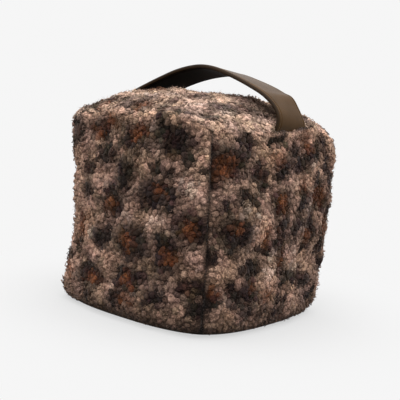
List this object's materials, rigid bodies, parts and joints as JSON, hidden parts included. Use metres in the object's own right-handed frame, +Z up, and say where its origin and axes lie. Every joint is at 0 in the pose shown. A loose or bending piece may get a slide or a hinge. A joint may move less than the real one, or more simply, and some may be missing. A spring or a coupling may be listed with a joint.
{
  "type": "weighted fabric door stop",
  "caption": "Stuffed, weighted fabric cube with a domed top and a leather carry strap, to hold a door open.",
  "frame": {"origin": "middle of the flat base, on the floor", "axes": "+Z up; the strap runs along X from the -X top seam to the +X top seam; -Y is the plain side panel on the left in the picture"},
  "size_m": [0.1784, 0.1782, 0.1912],
  "materials": {
    "spotted_boucle": "nubby wool boucle with dark rosettes",
    "strap_leather": "smooth satin, folded and edge stitched"
  },
  "bodies": {
    "root": {"stuffed_body": "spotted_boucle", "carry_strap": "strap_leather"}
  },
  "joints": []
}
